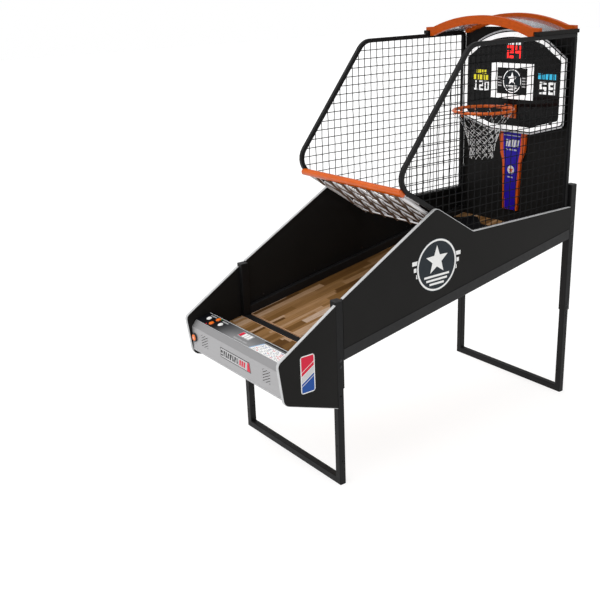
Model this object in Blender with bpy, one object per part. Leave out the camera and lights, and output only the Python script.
"""Arcade basketball hoop machine.

Metres, +Z up. The player stands at -Y and throws towards +Y, so left and right are the player's.
The origin is at the middle of the footprint, at floor level. Two telescoping U-shaped leg frames
carry four posts, a sloping ball-return deck between side panels, a console at the front, and two
netted cages that hold the backboard wall, the roof arches and the rim.
"""
import math

import bmesh
import bpy
from mathutils import Matrix, Vector

GAP = 0.0003                     # clearance left between pieces that touch

# Legs, posts and the pieces between them
LEG_X = 0.469                    # centre of each leg and post
FRONT_Y = -0.767                 # centre of the front posts
REAR_Y = 1.153                   # centre of the rear posts
LEG_SIZE = 0.042
LEG_WALL = 0.0025
LEG_TOP = 0.850
POST_SIZE = 0.050
POST_WALL = 0.003
POST_BOTTOM = 0.600
FRONT_POST_TOP = 1.111
REAR_POST_TOP = 1.448
CAP_HEIGHT = 0.004
CAP_PLUG = 0.016
HOLE_RADIUS = 0.0045
OUTER_X = LEG_X + POST_SIZE / 2
INNER_X = LEG_X - POST_SIZE / 2
FRONT_BEHIND = FRONT_Y + POST_SIZE / 2 + 0.0005
REAR_AHEAD = REAR_Y - POST_SIZE / 2 - 0.0005

# Ball-return slope, shared by the decks and the rails
SLOPE = 0.1765
DECK_Z = 0.9136                  # deck surface at y = 0
RAIL_TOP_Z = 0.9655              # side rail top at y = 0
RAIL_HEIGHT = 0.070
DECK_THICK = 0.015
FRONT_DECK_AHEAD = -1.100

# Side panels
BOARD = 0.019
PANEL_IN = OUTER_X - BOARD
TRIM = 0.0027
FRONT_PANEL = [(-0.7925, 1.0955), (-1.1805, 0.8593), (-1.1493, 0.614), (-0.7925, 0.489)]
FRONT_RADII = [0.036, 0.050]
MAIN_PANEL = [(REAR_AHEAD, 1.309), (0.244, 1.313), (-0.056, 1.503), (FRONT_BEHIND, 1.1216)]
MAIN_RADII = [0.030, 0.040]

# Console
CONSOLE_X = PANEL_IN - 0.0005
PANEL_FRONT = (-1.119, 0.826)
PANEL_BACK = (-1.0124, 0.8487)
FACE_TOP = (-1.1467, 0.790)
FACE_BOTTOM = (-1.1486, 0.643)
SHEET = 0.003
CONTROL_RADIUS = 0.012
CONTROL_RISE = 0.006
CONTROL_PLACES = [(-0.410, 0.060), (-0.338, 0.082), (-0.343, 0.034), (-0.273, 0.056)]
START_X = -0.445
START_Z = 0.729
START_RADIUS = 0.0195
BEZEL_RADIUS = 0.0275
SPEAKER_X = 0.330
SPEAKER_Z = 0.7325
SPEAKER_DROP = 0.030             # the driver hangs below the middle of its slots, clear of the panel
GRILLE_HALF = 0.037              # half of the square that the speaker slots fill
SLOT_STEP = 0.0165
SLOT_SLOPE = 0.51
SLOT_WIDTH = 0.0035
SLOTS_EACH_WAY = 3

# Cages
CAGE_X = 0.461
CAGE_TUBE = 0.025
CAGE_WALL = 0.002
CAGE_LOOP = [(1.108, 2.369), (0.2176, 2.369), (-0.340, 1.668), (0.251, 1.294), (1.108, 1.294)]
CAGE_RADII = [0.020, 0.110, 0.098, 0.035, 0.020]
CAGE_STEPS = [3, 7, 7, 3, 3]
BAR_Y = -0.281
BAR_Z = 1.614
BAR_RADIUS = 0.0215
BAR_HALF = 0.457
NET_FOOT = (0.220, 1.274)
NET_HALF = 0.440
NET_THICK = 0.010

# Roof
RAIL_X = (0.445, 0.485)
ROOF_Y = (0.758, 1.120)
ROOF_Z = 2.3818
ROOF_RAIL = 0.0222
ARCH_DEPTH = 0.030
ARCH_FRONT = 0.765
ARCH_REAR = 1.090
ARCH_PEAK = 2.498
ARCH_RADIUS = 1.179
ARCH_HALF = 0.403
ARCH_UNDER = 2.447
ARCH_UNDER_RADIUS = 1.109
ARCH_UNDER_HALF = 0.406
ARCH_HEEL = (0.431, 2.370)
ARCH_FOOT_HALF = 0.470
ARCH_FOOT_HEIGHT = 0.020
CANOPY_TOP = 2.475
CANOPY_RADIUS = 1.144
CANOPY_HALF = 0.430

# Back wall, backboard, displays and rim
WALL_Y = REAR_Y - POST_SIZE / 2 + 0.0005
WALL_THICK = 0.010
WALL_TOP = 2.410
WALL_HALF = 0.457
COLUMN_FRONT = 1.1112
COLUMN_Z = (1.211, 1.739)
INLET_X = (0.300, 0.356)
INLET_Z = (1.175, 1.218)
INLET_DEPTH = 0.022
INLET_SOCKET = (0.026, 0.026, 0.018)
BOARD_Y = 1.084
BOARD_THICK = 0.012
BOARD_HALF = 0.437
RIM_Y = 0.829
RIM_Z = 1.914
RIM_RADIUS = 0.191
RIM_TUBE = 0.010
NET_RINGS = [(1.9035, 0.178, 0.829), (1.862, 0.158, 0.829), (1.813, 0.1275, 0.828),
             (1.760, 0.105, 0.826), (1.695, 0.086, 0.823), (1.610, 0.076, 0.821)]
NET_SHELL = 0.005


# ------------------------------------------------------------------ materials

MATERIALS = {
    "black_steel": ((0.030, 0.030, 0.032), 0.42, 0.5),
    "rail_steel": ((0.042, 0.042, 0.044), 0.40, 0.5),
    "black_cap": ((0.020, 0.020, 0.021), 0.55, 0.0),
    "black_board": ((0.020, 0.019, 0.018), 0.50, 0.0),
    "white_trim": ((0.780, 0.790, 0.800), 0.40, 0.0),
    "maple": ((0.420, 0.260, 0.140), 0.35, 0.0),
    "silver_face": ((0.440, 0.430, 0.440), 0.40, 0.3),
    "grey_print": ((0.180, 0.180, 0.185), 0.40, 0.0),
    "orange": ((0.760, 0.120, 0.012), 0.38, 0.0),
    "dark_orange": ((0.560, 0.100, 0.008), 0.40, 0.0),
    "white_button": ((0.850, 0.850, 0.850), 0.30, 0.0),
    "net_cord": ((0.700, 0.690, 0.670), 0.80, 0.0),
    "black_cord": ((0.020, 0.020, 0.020), 0.80, 0.0),
    "smoked_clear": ((0.250, 0.240, 0.250), 0.10, 0.0),
    "gloss_black": ((0.010, 0.010, 0.011), 0.12, 0.0),
    "white_print": ((0.850, 0.850, 0.850), 0.35, 0.0),
    "display": ((0.012, 0.012, 0.013), 0.15, 0.0),
    "violet_print": ((0.060, 0.005, 0.350), 0.35, 0.0),
    "circuit": ((0.020, 0.180, 0.060), 0.45, 0.0),
    "tin": ((0.500, 0.500, 0.500), 0.35, 0.9),
}


def material(name):
    """The named material, made on first use."""
    found = bpy.data.materials.get(name)
    if found:
        return found
    colour, roughness, metallic = MATERIALS[name]
    made = bpy.data.materials.new(name)
    made.use_nodes = True
    shader = made.node_tree.nodes["Principled BSDF"]
    shader.inputs["Base Color"].default_value = (*colour, 1.0)
    shader.inputs["Roughness"].default_value = roughness
    shader.inputs["Metallic"].default_value = metallic
    made.diffuse_color = (*colour, 1.0)
    return made


# ------------------------------------------------------------------ outlines

def fillet(before, corner, after, radius, steps):
    """Points of the arc that rounds one corner."""
    corner = Vector(corner)
    towards = (Vector(before) - corner).normalized()
    away = (Vector(after) - corner).normalized()
    half = towards.angle(away) / 2
    centre = corner + (towards + away).normalized() * radius / math.sin(half)
    start = corner + towards * radius / math.tan(half) - centre
    side = 1 if towards.x * away.y - towards.y * away.x < 0 else -1
    sweep = side * (math.pi - 2 * half)
    return [centre + Matrix.Rotation(sweep * i / steps, 2) @ start for i in range(steps + 1)]


def rounded(points, radii, steps=7):
    """An open outline with its inner corners rounded."""
    path = [Vector(points[0])]
    for before, corner, after, radius in zip(points, points[1:], points[2:], radii):
        path += fillet(before, corner, after, radius, steps)
    path.append(Vector(points[-1]))
    return path


def rounded_loop(points, radii, steps):
    """A closed outline with all its corners rounded, in as many steps each as the list says."""
    path = []
    for i, corner in enumerate(points):
        path += fillet(points[i - 1], corner, points[(i + 1) % len(points)], radii[i], steps[i])
    return path


def left_normal(start, end):
    """Unit normal on the left of a stretch of outline."""
    along = (Vector(end) - Vector(start)).normalized()
    return Vector((-along.y, along.x))


def mitres(path, closed):
    """Left-hand offsets at each point that keep a swept section's width."""
    count = len(path)
    result = []
    for i, point in enumerate(path):
        first = path[i - 1] if closed or i > 0 else None
        last = path[(i + 1) % count] if closed or i < count - 1 else None
        before = left_normal(first, point) if first is not None else left_normal(point, last)
        after = left_normal(point, last) if last is not None else before
        result.append((before + after) / (1 + before.dot(after)))
    return result


def inset(points, radii, distance):
    """An outline moved to its left, its two ends kept on their vertical lines."""
    moved = [Vector(p) + m * distance for p, m in zip(points, mitres([Vector(p) for p in points], False))]
    for end, start, finish in ((0, 0, 1), (-1, -2, -1)):
        normal = left_normal(points[start], points[finish])
        moved[end] = Vector(points[end]) + Vector((0, distance / normal.y))
    new_radii = []
    for before, corner, after, radius in zip(points, points[1:], points[2:], radii):
        turn = left_normal(before, corner).dot(Vector(after) - Vector(corner))
        new_radii.append(radius - distance if turn > 0 else radius + distance)
    return moved, new_radii


def arc_points(top, radius, half, steps):
    """Points along a shallow arch, from +half to -half."""
    points = []
    for i in range(steps + 1):
        x = half - 2 * half * i / steps
        points.append(Vector((x, top - radius + math.sqrt(radius * radius - x * x))))
    return points


def square_section(width, height, corner, steps=2):
    """A rectangle with rounded corners, about its centre."""
    w = width / 2
    h = height / 2
    return rounded_loop([(w, h), (-w, h), (-w, -h), (w, -h)], [corner] * 4, [steps] * 4)


def circle_section(radius, sides):
    """A regular polygon about its centre."""
    turns = [2 * math.pi * i / sides for i in range(sides)]
    return [Vector((radius * math.cos(t), radius * math.sin(t))) for t in turns]


# ------------------------------------------------------------------ meshes

def along_x(point, x):
    """A (y, z) outline point at x."""
    return Vector((x, point.x, point.y))


def along_y(point, y):
    """An (x, z) outline point at y."""
    return Vector((point.x, y, point.y))


def along_z(point, z):
    """An (x, y) outline point at z."""
    return Vector((point.x, point.y, z))


def skin(bm, rings, closed):
    """Quads between each ring of points and the next."""
    loops = [[bm.verts.new(p) for p in ring] for ring in rings]
    pairs = list(zip(loops, loops[1:]))
    if closed:
        pairs.append((loops[-1], loops[0]))
    for one, two in pairs:
        for i in range(len(one)):
            bm.faces.new((one[i - 1], one[i], two[i], two[i - 1]))
    return loops


def solid_mesh(bm, rings, closed=False):
    """A solid through rings of points, capped unless its rings run in a loop."""
    loops = skin(bm, rings, closed)
    if not closed:
        bm.faces.new(loops[0])
        bm.faces.new(loops[-1])


def tube_mesh(bm, outer, inner):
    """A pipe with open ends, from outer and inner rings of the same number of points."""
    out = skin(bm, outer, False)
    bore = skin(bm, inner, False)
    for end in (0, -1):
        for i in range(len(out[end])):
            bm.faces.new((out[end][i - 1], out[end][i], bore[end][i], bore[end][i - 1]))


def add_object(name, bm, finish, location=(0, 0, 0), smooth=None):
    """An object from a bmesh whose faces are turned outwards, under the machine's empty."""
    bmesh.ops.recalc_face_normals(bm, faces=bm.faces)
    mesh = bpy.data.meshes.new(name)
    bm.to_mesh(mesh)
    bm.free()
    mesh.materials.append(material(finish))
    if smooth:
        mesh.shade_smooth()
        mesh.set_sharp_from_angle(angle=math.radians(smooth))
    obj = bpy.data.objects.new(name, mesh)
    obj.location = location
    obj.parent = bpy.data.objects["machine"]
    bpy.context.collection.objects.link(obj)
    return obj


def prism(name, outline, place, low, high, finish, smooth=None):
    """An outline extruded from low to high along the axis that place names."""
    bm = bmesh.new()
    solid_mesh(bm, [[place(Vector(p), level) for p in outline] for level in (low, high)])
    return add_object(name, bm, finish, smooth=smooth)


def box(name, low, high, finish, bevel=0.0):
    """A box between two corners, with its edges eased."""
    outline = [(low[0], low[1]), (high[0], low[1]), (high[0], high[1]), (low[0], high[1])]
    obj = prism(name, outline, along_z, low[2], high[2], finish)
    if bevel:
        ease(obj, bevel)
    return obj


def ease(obj, width):
    """Rounds an object's sharp edges."""
    bevel = obj.modifiers.new("eased_edges", "BEVEL")
    bevel.width = width
    bevel.segments = 2
    bevel.limit_method = "ANGLE"
    bevel.angle_limit = math.radians(40)


def swept(path, section, place, level, closed):
    """Rings of a section swept along a flat path, across which place stacks the level."""
    rings = []
    for point, across in zip(path, mitres(path, closed)):
        rings.append([place(point + across * s.x, level + s.y) for s in section])
    return rings


# ------------------------------------------------------------------ Booleans

def cutter(bm, name):
    """A hidden object that only shapes its neighbour."""
    obj = add_object(name, bm, "black_steel")
    obj.hide_render = True
    obj.display_type = "WIRE"
    return obj


def shape_with(obj, tool, operation="DIFFERENCE"):
    """Adds a Boolean modifier that uses a hidden object."""
    change = obj.modifiers.new(tool.name, "BOOLEAN")
    change.operation = operation
    change.solver = "EXACT"
    change.object = tool


def add_cylinder(bm, radius, start, end, sides=12):
    """Adds a capped cylinder between two points."""
    start = Vector(start)
    end = Vector(end)
    turn = (end - start).to_track_quat("Z", "Y").to_matrix().to_4x4()
    matrix = Matrix.Translation((start + end) / 2) @ turn
    bmesh.ops.create_cone(bm, cap_ends=True, segments=sides, radius1=radius, radius2=radius,
                          depth=(end - start).length, matrix=matrix)


def add_block(bm, centre, size, turn=None):
    """Adds a box about a centre, turned if asked."""
    matrix = Matrix.Translation(centre) @ (turn or Matrix.Identity(4)) @ Matrix.Diagonal((*size, 1))
    bmesh.ops.create_cube(bm, size=1, matrix=matrix)


# ------------------------------------------------------------------ legs and frame

def leg_frame(name, y, holes):
    """A mitred U of square tube that slides in two posts; its origin is on the slide's axis."""
    path = [Vector(p) for p in ((-LEG_X, LEG_TOP), (-LEG_X, LEG_SIZE / 2),
                                (LEG_X, LEG_SIZE / 2), (LEG_X, LEG_TOP))]
    bore = LEG_SIZE - 2 * LEG_WALL
    outer = swept(path, square_section(LEG_SIZE, LEG_SIZE, 0.004), along_y, 0, False)
    inner = swept(path, square_section(bore, bore, 0.0015), along_y, 0, False)
    bm = bmesh.new()
    tube_mesh(bm, outer, inner)
    obj = add_object(name, bm, "black_steel", location=(0, y, 0))
    cuts = bmesh.new()
    for side in (-1, 1):
        for axis, z in holes:
            reach = Vector((LEG_SIZE, 0, 0)) if axis == "x" else Vector((0, LEG_SIZE / 2, 0))
            middle = Vector((side * LEG_X, y if axis == "x" else y - LEG_SIZE / 2, z))
            add_cylinder(cuts, HOLE_RADIUS, middle - reach, middle + reach)
    shape_with(obj, cutter(cuts, name + "_holes"))


def posts():
    """Four square sleeves with plastic caps."""
    outer = square_section(POST_SIZE, POST_SIZE, 0.004)
    inner = square_section(POST_SIZE - 2 * POST_WALL, POST_SIZE - 2 * POST_WALL, 0.0015)
    for end, y, top in (("front", FRONT_Y, FRONT_POST_TOP), ("rear", REAR_Y, REAR_POST_TOP)):
        for side, x in (("left", -LEG_X), ("right", LEG_X)):
            bm = bmesh.new()
            tube_mesh(bm, [[along_z(p, z) for p in outer] for z in (0, top - POST_BOTTOM)],
                      [[along_z(p, z) for p in inner] for z in (0, top - POST_BOTTOM)])
            add_object(f"{end}_post_{side}", bm, "black_steel", location=(x, y, POST_BOTTOM))
            post_cap(f"{end}_post_cap_{side}", (x, y, top + GAP))


def post_cap(name, location):
    """A square lid with a plug that fills the post's mouth."""
    plug = POST_SIZE - 2 * POST_WALL - 2 * GAP
    lid = square_section(POST_SIZE, POST_SIZE, 0.004)
    stem = square_section(plug, plug, 0.0015)
    crown = square_section(POST_SIZE - 0.003, POST_SIZE - 0.003, 0.003)
    levels = [(stem, -CAP_PLUG), (stem, 0), (lid, 0), (lid, CAP_HEIGHT - 0.001), (crown, CAP_HEIGHT)]
    bm = bmesh.new()
    solid_mesh(bm, [[along_z(p, z) for p in section] for section, z in levels])
    add_object(name, bm, "black_cap", location=location)


def sloped(y, base):
    """Height at y of a line that rises with the ball-return slope."""
    return base + SLOPE * y


def rails():
    """Rectangular tubes: one along each side and one across each end."""
    middle = RAIL_TOP_Z - RAIL_HEIGHT / 2
    outer = square_section(POST_SIZE, RAIL_HEIGHT, 0.004)
    inner = square_section(POST_SIZE - 2 * POST_WALL, RAIL_HEIGHT - 2 * POST_WALL, 0.0015)
    for side, x in (("left", -LEG_X), ("right", LEG_X)):
        rings = []
        for section in (outer, inner):
            rings.append([[Vector((x + p.x, y, p.y + sloped(y, middle))) for p in section]
                          for y in (FRONT_BEHIND, REAR_AHEAD)])
        bm = bmesh.new()
        tube_mesh(bm, *rings)
        add_object(f"side_rail_{side}", bm, "rail_steel")
    cross_rail("front_cross_rail", FRONT_Y, sloped(FRONT_Y, DECK_Z))
    cross_rail("rear_cross_rail", REAR_Y + 0.0005, sloped(REAR_AHEAD, DECK_Z))


def cross_rail(name, y, top):
    """A square tube between the two posts of one end."""
    size = POST_SIZE - 0.001
    outer = square_section(size, size, 0.004)
    inner = square_section(size - 2 * POST_WALL, size - 2 * POST_WALL, 0.0015)
    reach = INNER_X - 0.0005
    bm = bmesh.new()
    tube_mesh(bm, [[along_x(p, x) for p in outer] for x in (-reach, reach)],
              [[along_x(p, x) for p in inner] for x in (-reach, reach)])
    add_object(name, bm, "rail_steel", location=(0, y, top - size / 2))


def decks():
    """The long main deck and the short deck under the console."""
    for name, ahead, behind, half in (
            ("main_deck", FRONT_BEHIND + 0.0005, REAR_AHEAD, INNER_X - 0.0005),
            ("front_deck", FRONT_DECK_AHEAD, FRONT_Y - POST_SIZE / 2 - 0.0005, CONSOLE_X)):
        outline = [(ahead, sloped(ahead, DECK_Z)), (behind, sloped(behind, DECK_Z)),
                   (behind, sloped(behind, DECK_Z - DECK_THICK)), (ahead, sloped(ahead, DECK_Z - DECK_THICK))]
        prism(name, outline, along_x, -half, half, "maple")


def side_panels():
    """Front and main side boards with a white edge trim round their outer edges."""
    rail_top = RAIL_TOP_Z + GAP
    foot = [Vector((y, sloped(y, rail_top))) for y in (FRONT_BEHIND, REAR_AHEAD)]
    for side, sign in (("left", -1), ("right", 1)):
        low, high = sorted((sign * PANEL_IN, sign * OUTER_X))
        for part, points, radii, base in (("front", FRONT_PANEL, FRONT_RADII, []),
                                          ("main", MAIN_PANEL, MAIN_RADII, foot)):
            edge = rounded(points, radii)
            board = rounded(*inset(points, radii, TRIM + GAP)) + base
            strip = edge + rounded(*inset(points, radii, TRIM))[::-1]
            prism(f"{part}_side_panel_{side}", board, along_x, low, high, "black_board")
            prism(f"{part}_edge_trim_{side}", strip, along_x, low, high, "white_trim", smooth=35)


# ------------------------------------------------------------------ console

def folded_sheet(name, points, thickness, half, finish):
    """A sheet folded along X, from the outline of its left-hand face."""
    path = [Vector(p) for p in points]
    back = [p + m * thickness for p, m in zip(path, mitres(path, False))]
    return prism(name, path + back[::-1], along_x, -half, half, finish)


def console():
    """Fascia, control panel and floor, with the speakers and electronics they hide."""
    face = folded_sheet("console_front", [PANEL_FRONT, FACE_TOP, FACE_BOTTOM, (-1.1206, 0.638)],
                        SHEET, CONSOLE_X, "silver_face")
    behind_face = FACE_TOP[0] + 2 * SHEET
    cuts = bmesh.new()
    add_cylinder(cuts, START_RADIUS + 0.0007, (START_X, FACE_TOP[0] - 0.02, START_Z),
                 (START_X, behind_face, START_Z), 32)
    for x in (-SPEAKER_X, SPEAKER_X):
        speaker_slots(cuts, x)
    shape_with(face, cutter(cuts, "console_front_cuts"))
    # the control panel's rear edge folds down to the front deck
    flange = (PANEL_BACK[0], sloped(PANEL_BACK[0], DECK_Z) + 0.0008)
    start = (PANEL_FRONT[0] + 0.0024, PANEL_FRONT[1] + 0.0005)
    panel = folded_sheet("control_panel", [flange, PANEL_BACK, start], SHEET, CONSOLE_X, "grey_print")
    holes = bmesh.new()
    for place in CONTROL_PLACES:
        centre, outward = on_control_panel(*place)
        add_cylinder(holes, CONTROL_RADIUS + 0.0006, centre - outward * 0.01, centre + outward * 0.01, 24)
    shape_with(panel, cutter(holes, "control_panel_holes"))
    box("console_floor", (-CONSOLE_X, -1.118, 0.640), (CONSOLE_X, -0.800, 0.650), "black_board")
    for side, x in (("left", -SPEAKER_X), ("right", SPEAKER_X)):
        speaker(f"speaker_{side}", (x, FACE_TOP[0] + SHEET + 0.001, SPEAKER_Z - SPEAKER_DROP))
    electronics()


def speaker_slots(bm, x):
    """Parallel slots that rise to the right, clipped to a square in front of one speaker."""
    tilt = math.atan(SLOT_SLOPE)
    turn = Matrix.Rotation(-tilt, 4, "Y")
    for i in range(-SLOTS_EACH_WAY, SLOTS_EACH_WAY + 1):
        lift = SLOT_STEP * i
        left = max(-GRILLE_HALF, (-GRILLE_HALF - lift) / SLOT_SLOPE)
        right = min(GRILLE_HALF, (GRILLE_HALF - lift) / SLOT_SLOPE)
        middle = (left + right) / 2
        centre = (x + middle, FACE_TOP[0], SPEAKER_Z + lift + SLOT_SLOPE * middle)
        add_block(bm, centre, ((right - left) / math.cos(tilt), 0.02, SLOT_WIDTH), turn)


def on_control_panel(x, back):
    """A point on the control panel, given its distance behind the front edge, and the outward normal."""
    front = Vector(PANEL_FRONT)
    along = (Vector(PANEL_BACK) - front).normalized()
    spot = front + along * back
    return Vector((x, spot.x, spot.y)), Vector((0, -along.y, along.x))


def speaker(name, location):
    """A driver with a wide cone frame in front of its magnet; its origin is at the front."""
    profile = [(0.034, 0), (0.034, 0.004), (0.020, 0.018), (0.020, 0.032)]
    bm = bmesh.new()
    solid_mesh(bm, [[along_y(p, y) for p in circle_section(r, 24)] for r, y in profile])
    add_object(name, bm, "black_cap", location=location, smooth=35)


def electronics():
    """Circuit board and power supply on the console floor."""
    floor = 0.650 + GAP
    board = bmesh.new()
    add_block(board, (-0.120, -1.060, floor + 0.0078), (0.110, 0.070, 0.0016))
    obj = add_object("control_board", board, "circuit")
    extras = bmesh.new()
    chips = [(-0.150, -1.070, 0.022, 0.022), (-0.105, -1.050, 0.030, 0.012), (-0.088, -1.078, 0.012, 0.012)]
    for x, y, width, depth in chips:
        add_block(extras, (x, y, floor + 0.011), (width, depth, 0.008))
    for x in (-0.170, -0.070):
        for y in (-1.090, -1.030):
            add_cylinder(extras, 0.003, (x, y, floor), (x, y, floor + 0.0075), 10)
    shape_with(obj, cutter(extras, "control_board_parts"), "UNION")
    box("power_supply", (0.080, -1.000, floor), (0.190, -0.900, floor + 0.034), "tin", 0.002)


def buttons():
    """Press buttons; each one's origin is on its own axis at the surface that it passes through."""
    bezel = bmesh.new()
    rings = [(0.0, BEZEL_RADIUS), (-0.005, BEZEL_RADIUS), (-0.008, BEZEL_RADIUS - 0.003)]
    outer = [[along_y(p, y) for p in circle_section(r, 32)] for y, r in rings]
    inner = [[along_y(p, y) for p in circle_section(START_RADIUS + 0.0007, 32)] for y, _ in rings]
    tube_mesh(bezel, outer, inner)
    face_y = face_at(START_Z)
    seat = (START_X, face_y - 0.0008, START_Z)
    add_object("start_button_bezel", bezel, "black_cap", location=seat, smooth=40)
    plunger("start_button", START_RADIUS, 0.012, 0.016, "orange", 32)
    start = bpy.data.objects["start_button"]
    start.location = (START_X, face_y, START_Z)
    start.rotation_euler = (math.pi / 2, 0, 0)
    tilt = math.atan2(PANEL_BACK[1] - PANEL_FRONT[1], PANEL_BACK[0] - PANEL_FRONT[0])
    finishes = ["white_button", "orange", "orange", "white_button"]
    for number, (place, finish) in enumerate(zip(CONTROL_PLACES, finishes), 1):
        name = f"control_button_{number}"
        plunger(name, CONTROL_RADIUS, CONTROL_RISE, 0.014, finish, 20)
        bpy.data.objects[name].location = on_control_panel(*place)[0]
        bpy.data.objects[name].rotation_euler = (tilt, 0, 0)


def face_at(z):
    """The y of the console's front face at a height."""
    share = (z - FACE_BOTTOM[1]) / (FACE_TOP[1] - FACE_BOTTOM[1])
    return FACE_BOTTOM[0] + share * (FACE_TOP[0] - FACE_BOTTOM[0])


def plunger(name, radius, rise, depth, finish, sides):
    """A round button along its own Z, with an eased top edge."""
    levels = [(-depth, radius), (rise - 0.002, radius), (rise - 0.0006, radius - 0.0006),
              (rise, radius - 0.002)]
    bm = bmesh.new()
    solid_mesh(bm, [[along_z(p, z) for p in circle_section(r, sides)] for z, r in levels])
    add_object(name, bm, finish, smooth=50)


# ------------------------------------------------------------------ cages and nets

def cages():
    """Bent square-tube loops at the sides, each filled by a net."""
    path = rounded_loop(CAGE_LOOP, CAGE_RADII, CAGE_STEPS)
    bore = CAGE_TUBE - 2 * CAGE_WALL
    low = min(p.y for p in path)
    for side, x in (("left", -CAGE_X), ("right", CAGE_X)):
        bm = bmesh.new()
        solid_mesh(bm, swept(path, square_section(CAGE_TUBE, CAGE_TUBE, 0.003), along_x, x, True), True)
        cage = add_object(f"cage_frame_{side}", bm, "black_steel", smooth=32)
        hollow = bmesh.new()
        solid_mesh(hollow, swept(path, square_section(bore, bore, 0.001, 1), along_x, x, True), True)
        shape_with(cage, cutter(hollow, f"cage_bore_{side}"))
        drain = bmesh.new()
        add_cylinder(drain, 0.003, (x, 0.700, low), (x, 0.700, low - CAGE_TUBE))
        shape_with(cage, cutter(drain, f"cage_drain_{side}"))
        reach = CAGE_TUBE / 2 + GAP
        inside = [p + m * reach for p, m in zip(path, mitres(path, True))]
        prism(f"cage_net_{side}", inside, along_x, x - 0.002, x + 0.002, "black_cord")


def front_bar():
    """The round crossbar, notched round the two cage tubes."""
    bm = bmesh.new()
    levels = (-BAR_HALF, BAR_HALF)
    tube_mesh(bm, [[along_x(p, x) for p in circle_section(BAR_RADIUS, 32)] for x in levels],
              [[along_x(p, x) for p in circle_section(BAR_RADIUS - 0.002, 32)] for x in levels])
    bar = add_object("front_bar", bm, "orange", location=(0, BAR_Y, BAR_Z), smooth=30)
    corner = Vector(CAGE_LOOP[2])
    foot = Vector(CAGE_LOOP[3])
    turn = Matrix.Rotation(math.atan2(foot.y - corner.y, foot.x - corner.x), 4, "X")
    notch = bmesh.new()
    on_tube = corner + (foot - corner) * ((BAR_Y - corner.x) / (foot.x - corner.x))
    size = CAGE_TUBE + 0.001
    for x in (-CAGE_X, CAGE_X):
        add_block(notch, (x, on_tube.x, on_tube.y), (size, 0.3, size), turn)
    shape_with(bar, cutter(notch, "bar_notches"))


def front_net():
    """The sloping rope net under the bar, as a plain sheet of the net's own thickness."""
    top = Vector((BAR_Y, BAR_Z))
    foot = Vector(NET_FOOT)
    along = (foot - top).normalized()
    across = Vector((-along.y, along.x)) * NET_THICK / 2
    head = top + along * (BAR_RADIUS + 0.001)
    prism("front_net", [head - across, foot - across, foot + across, head + across], along_x,
          -NET_HALF, NET_HALF, "net_cord")


# ------------------------------------------------------------------ roof

def roof():
    """Two boards on the cages, two arches across them and a clear canopy between."""
    for side, sign in (("left", -1), ("right", 1)):
        low, high = sorted((sign * RAIL_X[0], sign * RAIL_X[1]))
        top = ROOF_Z + ROOF_RAIL
        box(f"roof_rail_{side}", (low, ROOF_Y[0], ROOF_Z), (high, ROOF_Y[1], top), "black_board", 0.001)
    foot = ROOF_Z + ROOF_RAIL + GAP
    shoulder = [(ARCH_FOOT_HALF, foot), (ARCH_FOOT_HALF, foot + ARCH_FOOT_HEIGHT)]
    heel = [ARCH_HEEL, (ARCH_HEEL[0], foot)]
    over = arc_points(ARCH_PEAK, ARCH_RADIUS, ARCH_HALF, 28)
    under = arc_points(ARCH_UNDER, ARCH_UNDER_RADIUS, ARCH_UNDER_HALF, 28)[::-1]
    left_shoulder = [(-x, z) for x, z in shoulder[::-1]]
    left_heel = [(-x, z) for x, z in heel[::-1]]
    outline = shoulder + over + left_shoulder + left_heel + under + heel
    for name, y in (("arch_front", ARCH_FRONT), ("arch_rear", ARCH_REAR)):
        prism(name, outline, along_y, y, y + ARCH_DEPTH, "dark_orange", smooth=30)
    top = arc_points(CANOPY_TOP, CANOPY_RADIUS, CANOPY_HALF, 28)
    sheet = top + [p - Vector((0, SHEET)) for p in top[::-1]]
    prism("canopy", sheet, along_y, ARCH_FRONT + ARCH_DEPTH + GAP, ARCH_REAR - GAP, "smoked_clear", smooth=30)


# ------------------------------------------------------------------ back wall, backboard and rim

def back_wall():
    """The wall board, narrow between the rear posts and wide above them."""
    step = REAR_POST_TOP + CAP_HEIGHT + 0.004
    low = sloped(REAR_AHEAD, DECK_Z) + 0.001
    narrow = INNER_X - 0.0005
    right = [(narrow, low), (narrow, step), (WALL_HALF, step), (WALL_HALF, WALL_TOP)]
    outline = right + [(-x, z) for x, z in right[::-1]]
    back = WALL_Y + WALL_THICK
    prism("back_wall", outline, along_y, WALL_Y, back, "black_board")
    levels = [COLUMN_Z[0] + (COLUMN_Z[1] - COLUMN_Z[0]) * i / 24 for i in range(25)]
    edge = [(column_half(z), z) for z in levels]
    outline = edge + [(-x, z) for x, z in edge[::-1]]
    prism("column_cover", outline, along_y, COLUMN_FRONT, WALL_Y - GAP, "violet_print", smooth=30)
    low, high = ((INLET_X[i], back + (GAP, INLET_DEPTH)[i], INLET_Z[i]) for i in (0, 1))
    inlet = box("power_inlet", low, high, "black_cap")
    socket = bmesh.new()
    add_block(socket, (sum(INLET_X) / 2, back + INLET_DEPTH, sum(INLET_Z) / 2), INLET_SOCKET)
    shape_with(inlet, cutter(socket, "inlet_socket"))


def column_half(z):
    """Half width of the column cover: a slow taper that swells in an S-curve near the top."""
    share = min(max((z - 1.520) / 0.120, 0), 1)
    return 0.062 + 0.047 * (z - COLUMN_Z[0]) + 0.0276 * share * share * (3 - 2 * share)


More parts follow.
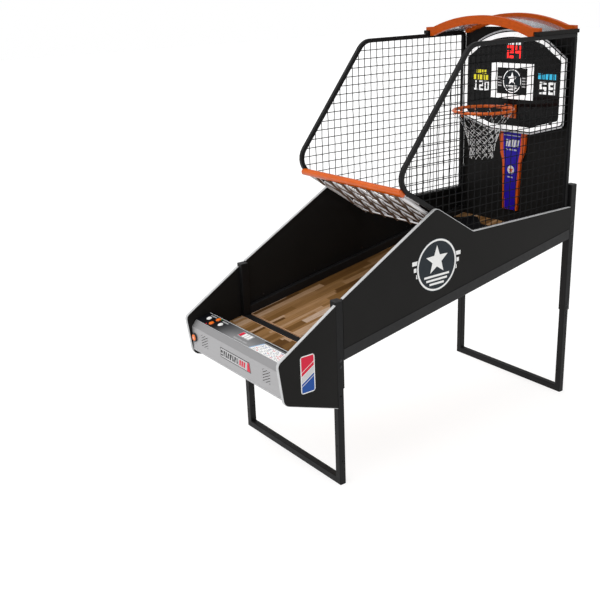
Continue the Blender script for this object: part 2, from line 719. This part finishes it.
def backboard():
    """The board with its three display modules, set in windows, and the target frame."""
    arch = arc_points(2.402, 0.631, 0.300, 20)
    low = [(-0.173, 1.741), (0.173, 1.741)]
    side = fillet((0.173, 1.741), (BOARD_HALF, 1.812), (BOARD_HALF, 2.231), 0.030, 6)
    left = [(-p.x, p.y) for p in side[::-1]]
    outline = low + side + [(BOARD_HALF, 2.231)] + arch + [(-BOARD_HALF, 2.231)] + left
    board = prism("backboard", outline, along_y, BOARD_Y, BOARD_Y + BOARD_THICK, "gloss_black", smooth=30)
    windows = bmesh.new()
    for name, x0, x1, z0, z1 in (("time_display", -0.058, 0.086, 2.211, 2.322),
                                 ("high_score_display", -0.334, -0.186, 1.998, 2.139),
                                 ("score_display", 0.219, 0.373, 2.000, 2.135)):
        box(name, (x0, BOARD_Y - 0.0005, z0), (x1, BOARD_Y + 0.026, z1), "display")
        add_block(windows, ((x0 + x1) / 2, BOARD_Y, (z0 + z1) / 2), (x1 - x0 + 0.001, 0.1, z1 - z0 + 0.001))
    shape_with(board, cutter(windows, "display_windows"))
    middle = Vector((0.004, BOARD_Y, 2.0735))
    frame = bmesh.new()
    outer = [(0.1775, 0.1135), (-0.1775, 0.1135), (-0.1775, -0.1135), (0.1775, -0.1135)]
    inner = [(0.127, 0.0840), (-0.127, 0.0840), (-0.127, -0.0840), (0.127, -0.0840)]
    levels = (-0.0023, -GAP)
    tube_mesh(frame, [[along_y(Vector(p), y) for p in outer] for y in levels],
              [[along_y(Vector(p), y) for p in inner] for y in levels])
    add_object("target_frame", frame, "white_print", location=middle)


def hoop():
    """Rim, its bracket with the sensor between the gussets, and the net as a plain funnel."""
    around = circle_section(RIM_RADIUS, 64)
    rim = bmesh.new()
    solid_mesh(rim, swept(around, circle_section(RIM_TUBE, 12), along_z, 0, True), True)
    add_object("rim", rim, "orange", location=(0, RIM_Y, RIM_Z), smooth=60)
    plate_y = BOARD_Y - GAP
    plate = box("rim_bracket", (-0.050, plate_y - 0.005, 1.8375), (0.050, plate_y, 1.925), "orange")
    shelf_z = RIM_Z - 0.004
    reach = RIM_RADIUS + RIM_TUBE + 0.0006
    arc = [math.radians(90 + a) for a in (-13, -9, -4.5, 0, 4.5, 9, 13)]
    nose = [(reach * math.cos(a), RIM_Y + reach * math.sin(a)) for a in arc]
    shelf = bmesh.new()
    outline = [Vector(p) for p in nose + [(-0.047, plate_y - 0.002), (0.047, plate_y - 0.002)]]
    solid_mesh(shelf, [[along_z(p, z) for p in outline] for z in (shelf_z, shelf_z + 0.006)])
    shape_with(plate, cutter(shelf, "bracket_shelf"), "UNION")
    gusset = [Vector(p) for p in ((plate_y - 0.002, 1.845), (plate_y - 0.002, shelf_z + 0.003),
                                  (1.036, shelf_z + 0.003), (1.036, shelf_z - 0.006))]
    for side, x in (("left", -0.040), ("right", 0.040)):
        web = bmesh.new()
        solid_mesh(web, [[along_x(p, x + offset) for p in gusset] for offset in (-0.002, 0.002)])
        shape_with(plate, cutter(web, f"bracket_gusset_{side}"), "UNION")
    box("ball_sensor", (-0.016, plate_y - 0.030, 1.862), (0.016, plate_y - 0.0054, 1.892), "black_cap", 0.002)
    funnel = bmesh.new()
    rings = []
    for shrink in (0, NET_SHELL):
        rings.append([[along_z(p + Vector((0, y)), z) for p in circle_section(r - shrink, 24)]
                      for z, r, y in NET_RINGS])
    tube_mesh(funnel, *rings)
    add_object("hoop_net", funnel, "net_cord", smooth=40)


# ------------------------------------------------------------------ whole machine

def main():
    """Clears the scene and builds every piece."""
    for obj in list(bpy.data.objects):
        bpy.data.objects.remove(obj, do_unlink=True)
    machine = bpy.data.objects.new("machine", None)
    bpy.context.collection.objects.link(machine)
    leg_frame("front_leg_frame", FRONT_Y, [("x", 0.150), ("x", 0.556), ("y", 0.245)])
    leg_frame("rear_leg_frame", REAR_Y, [("x", 0.559), ("x", 0.582), ("y", 0.166)])
    posts()
    rails()
    decks()
    side_panels()
    console()
    buttons()
    cages()
    front_bar()
    front_net()
    roof()
    back_wall()
    backboard()
    hoop()


main()
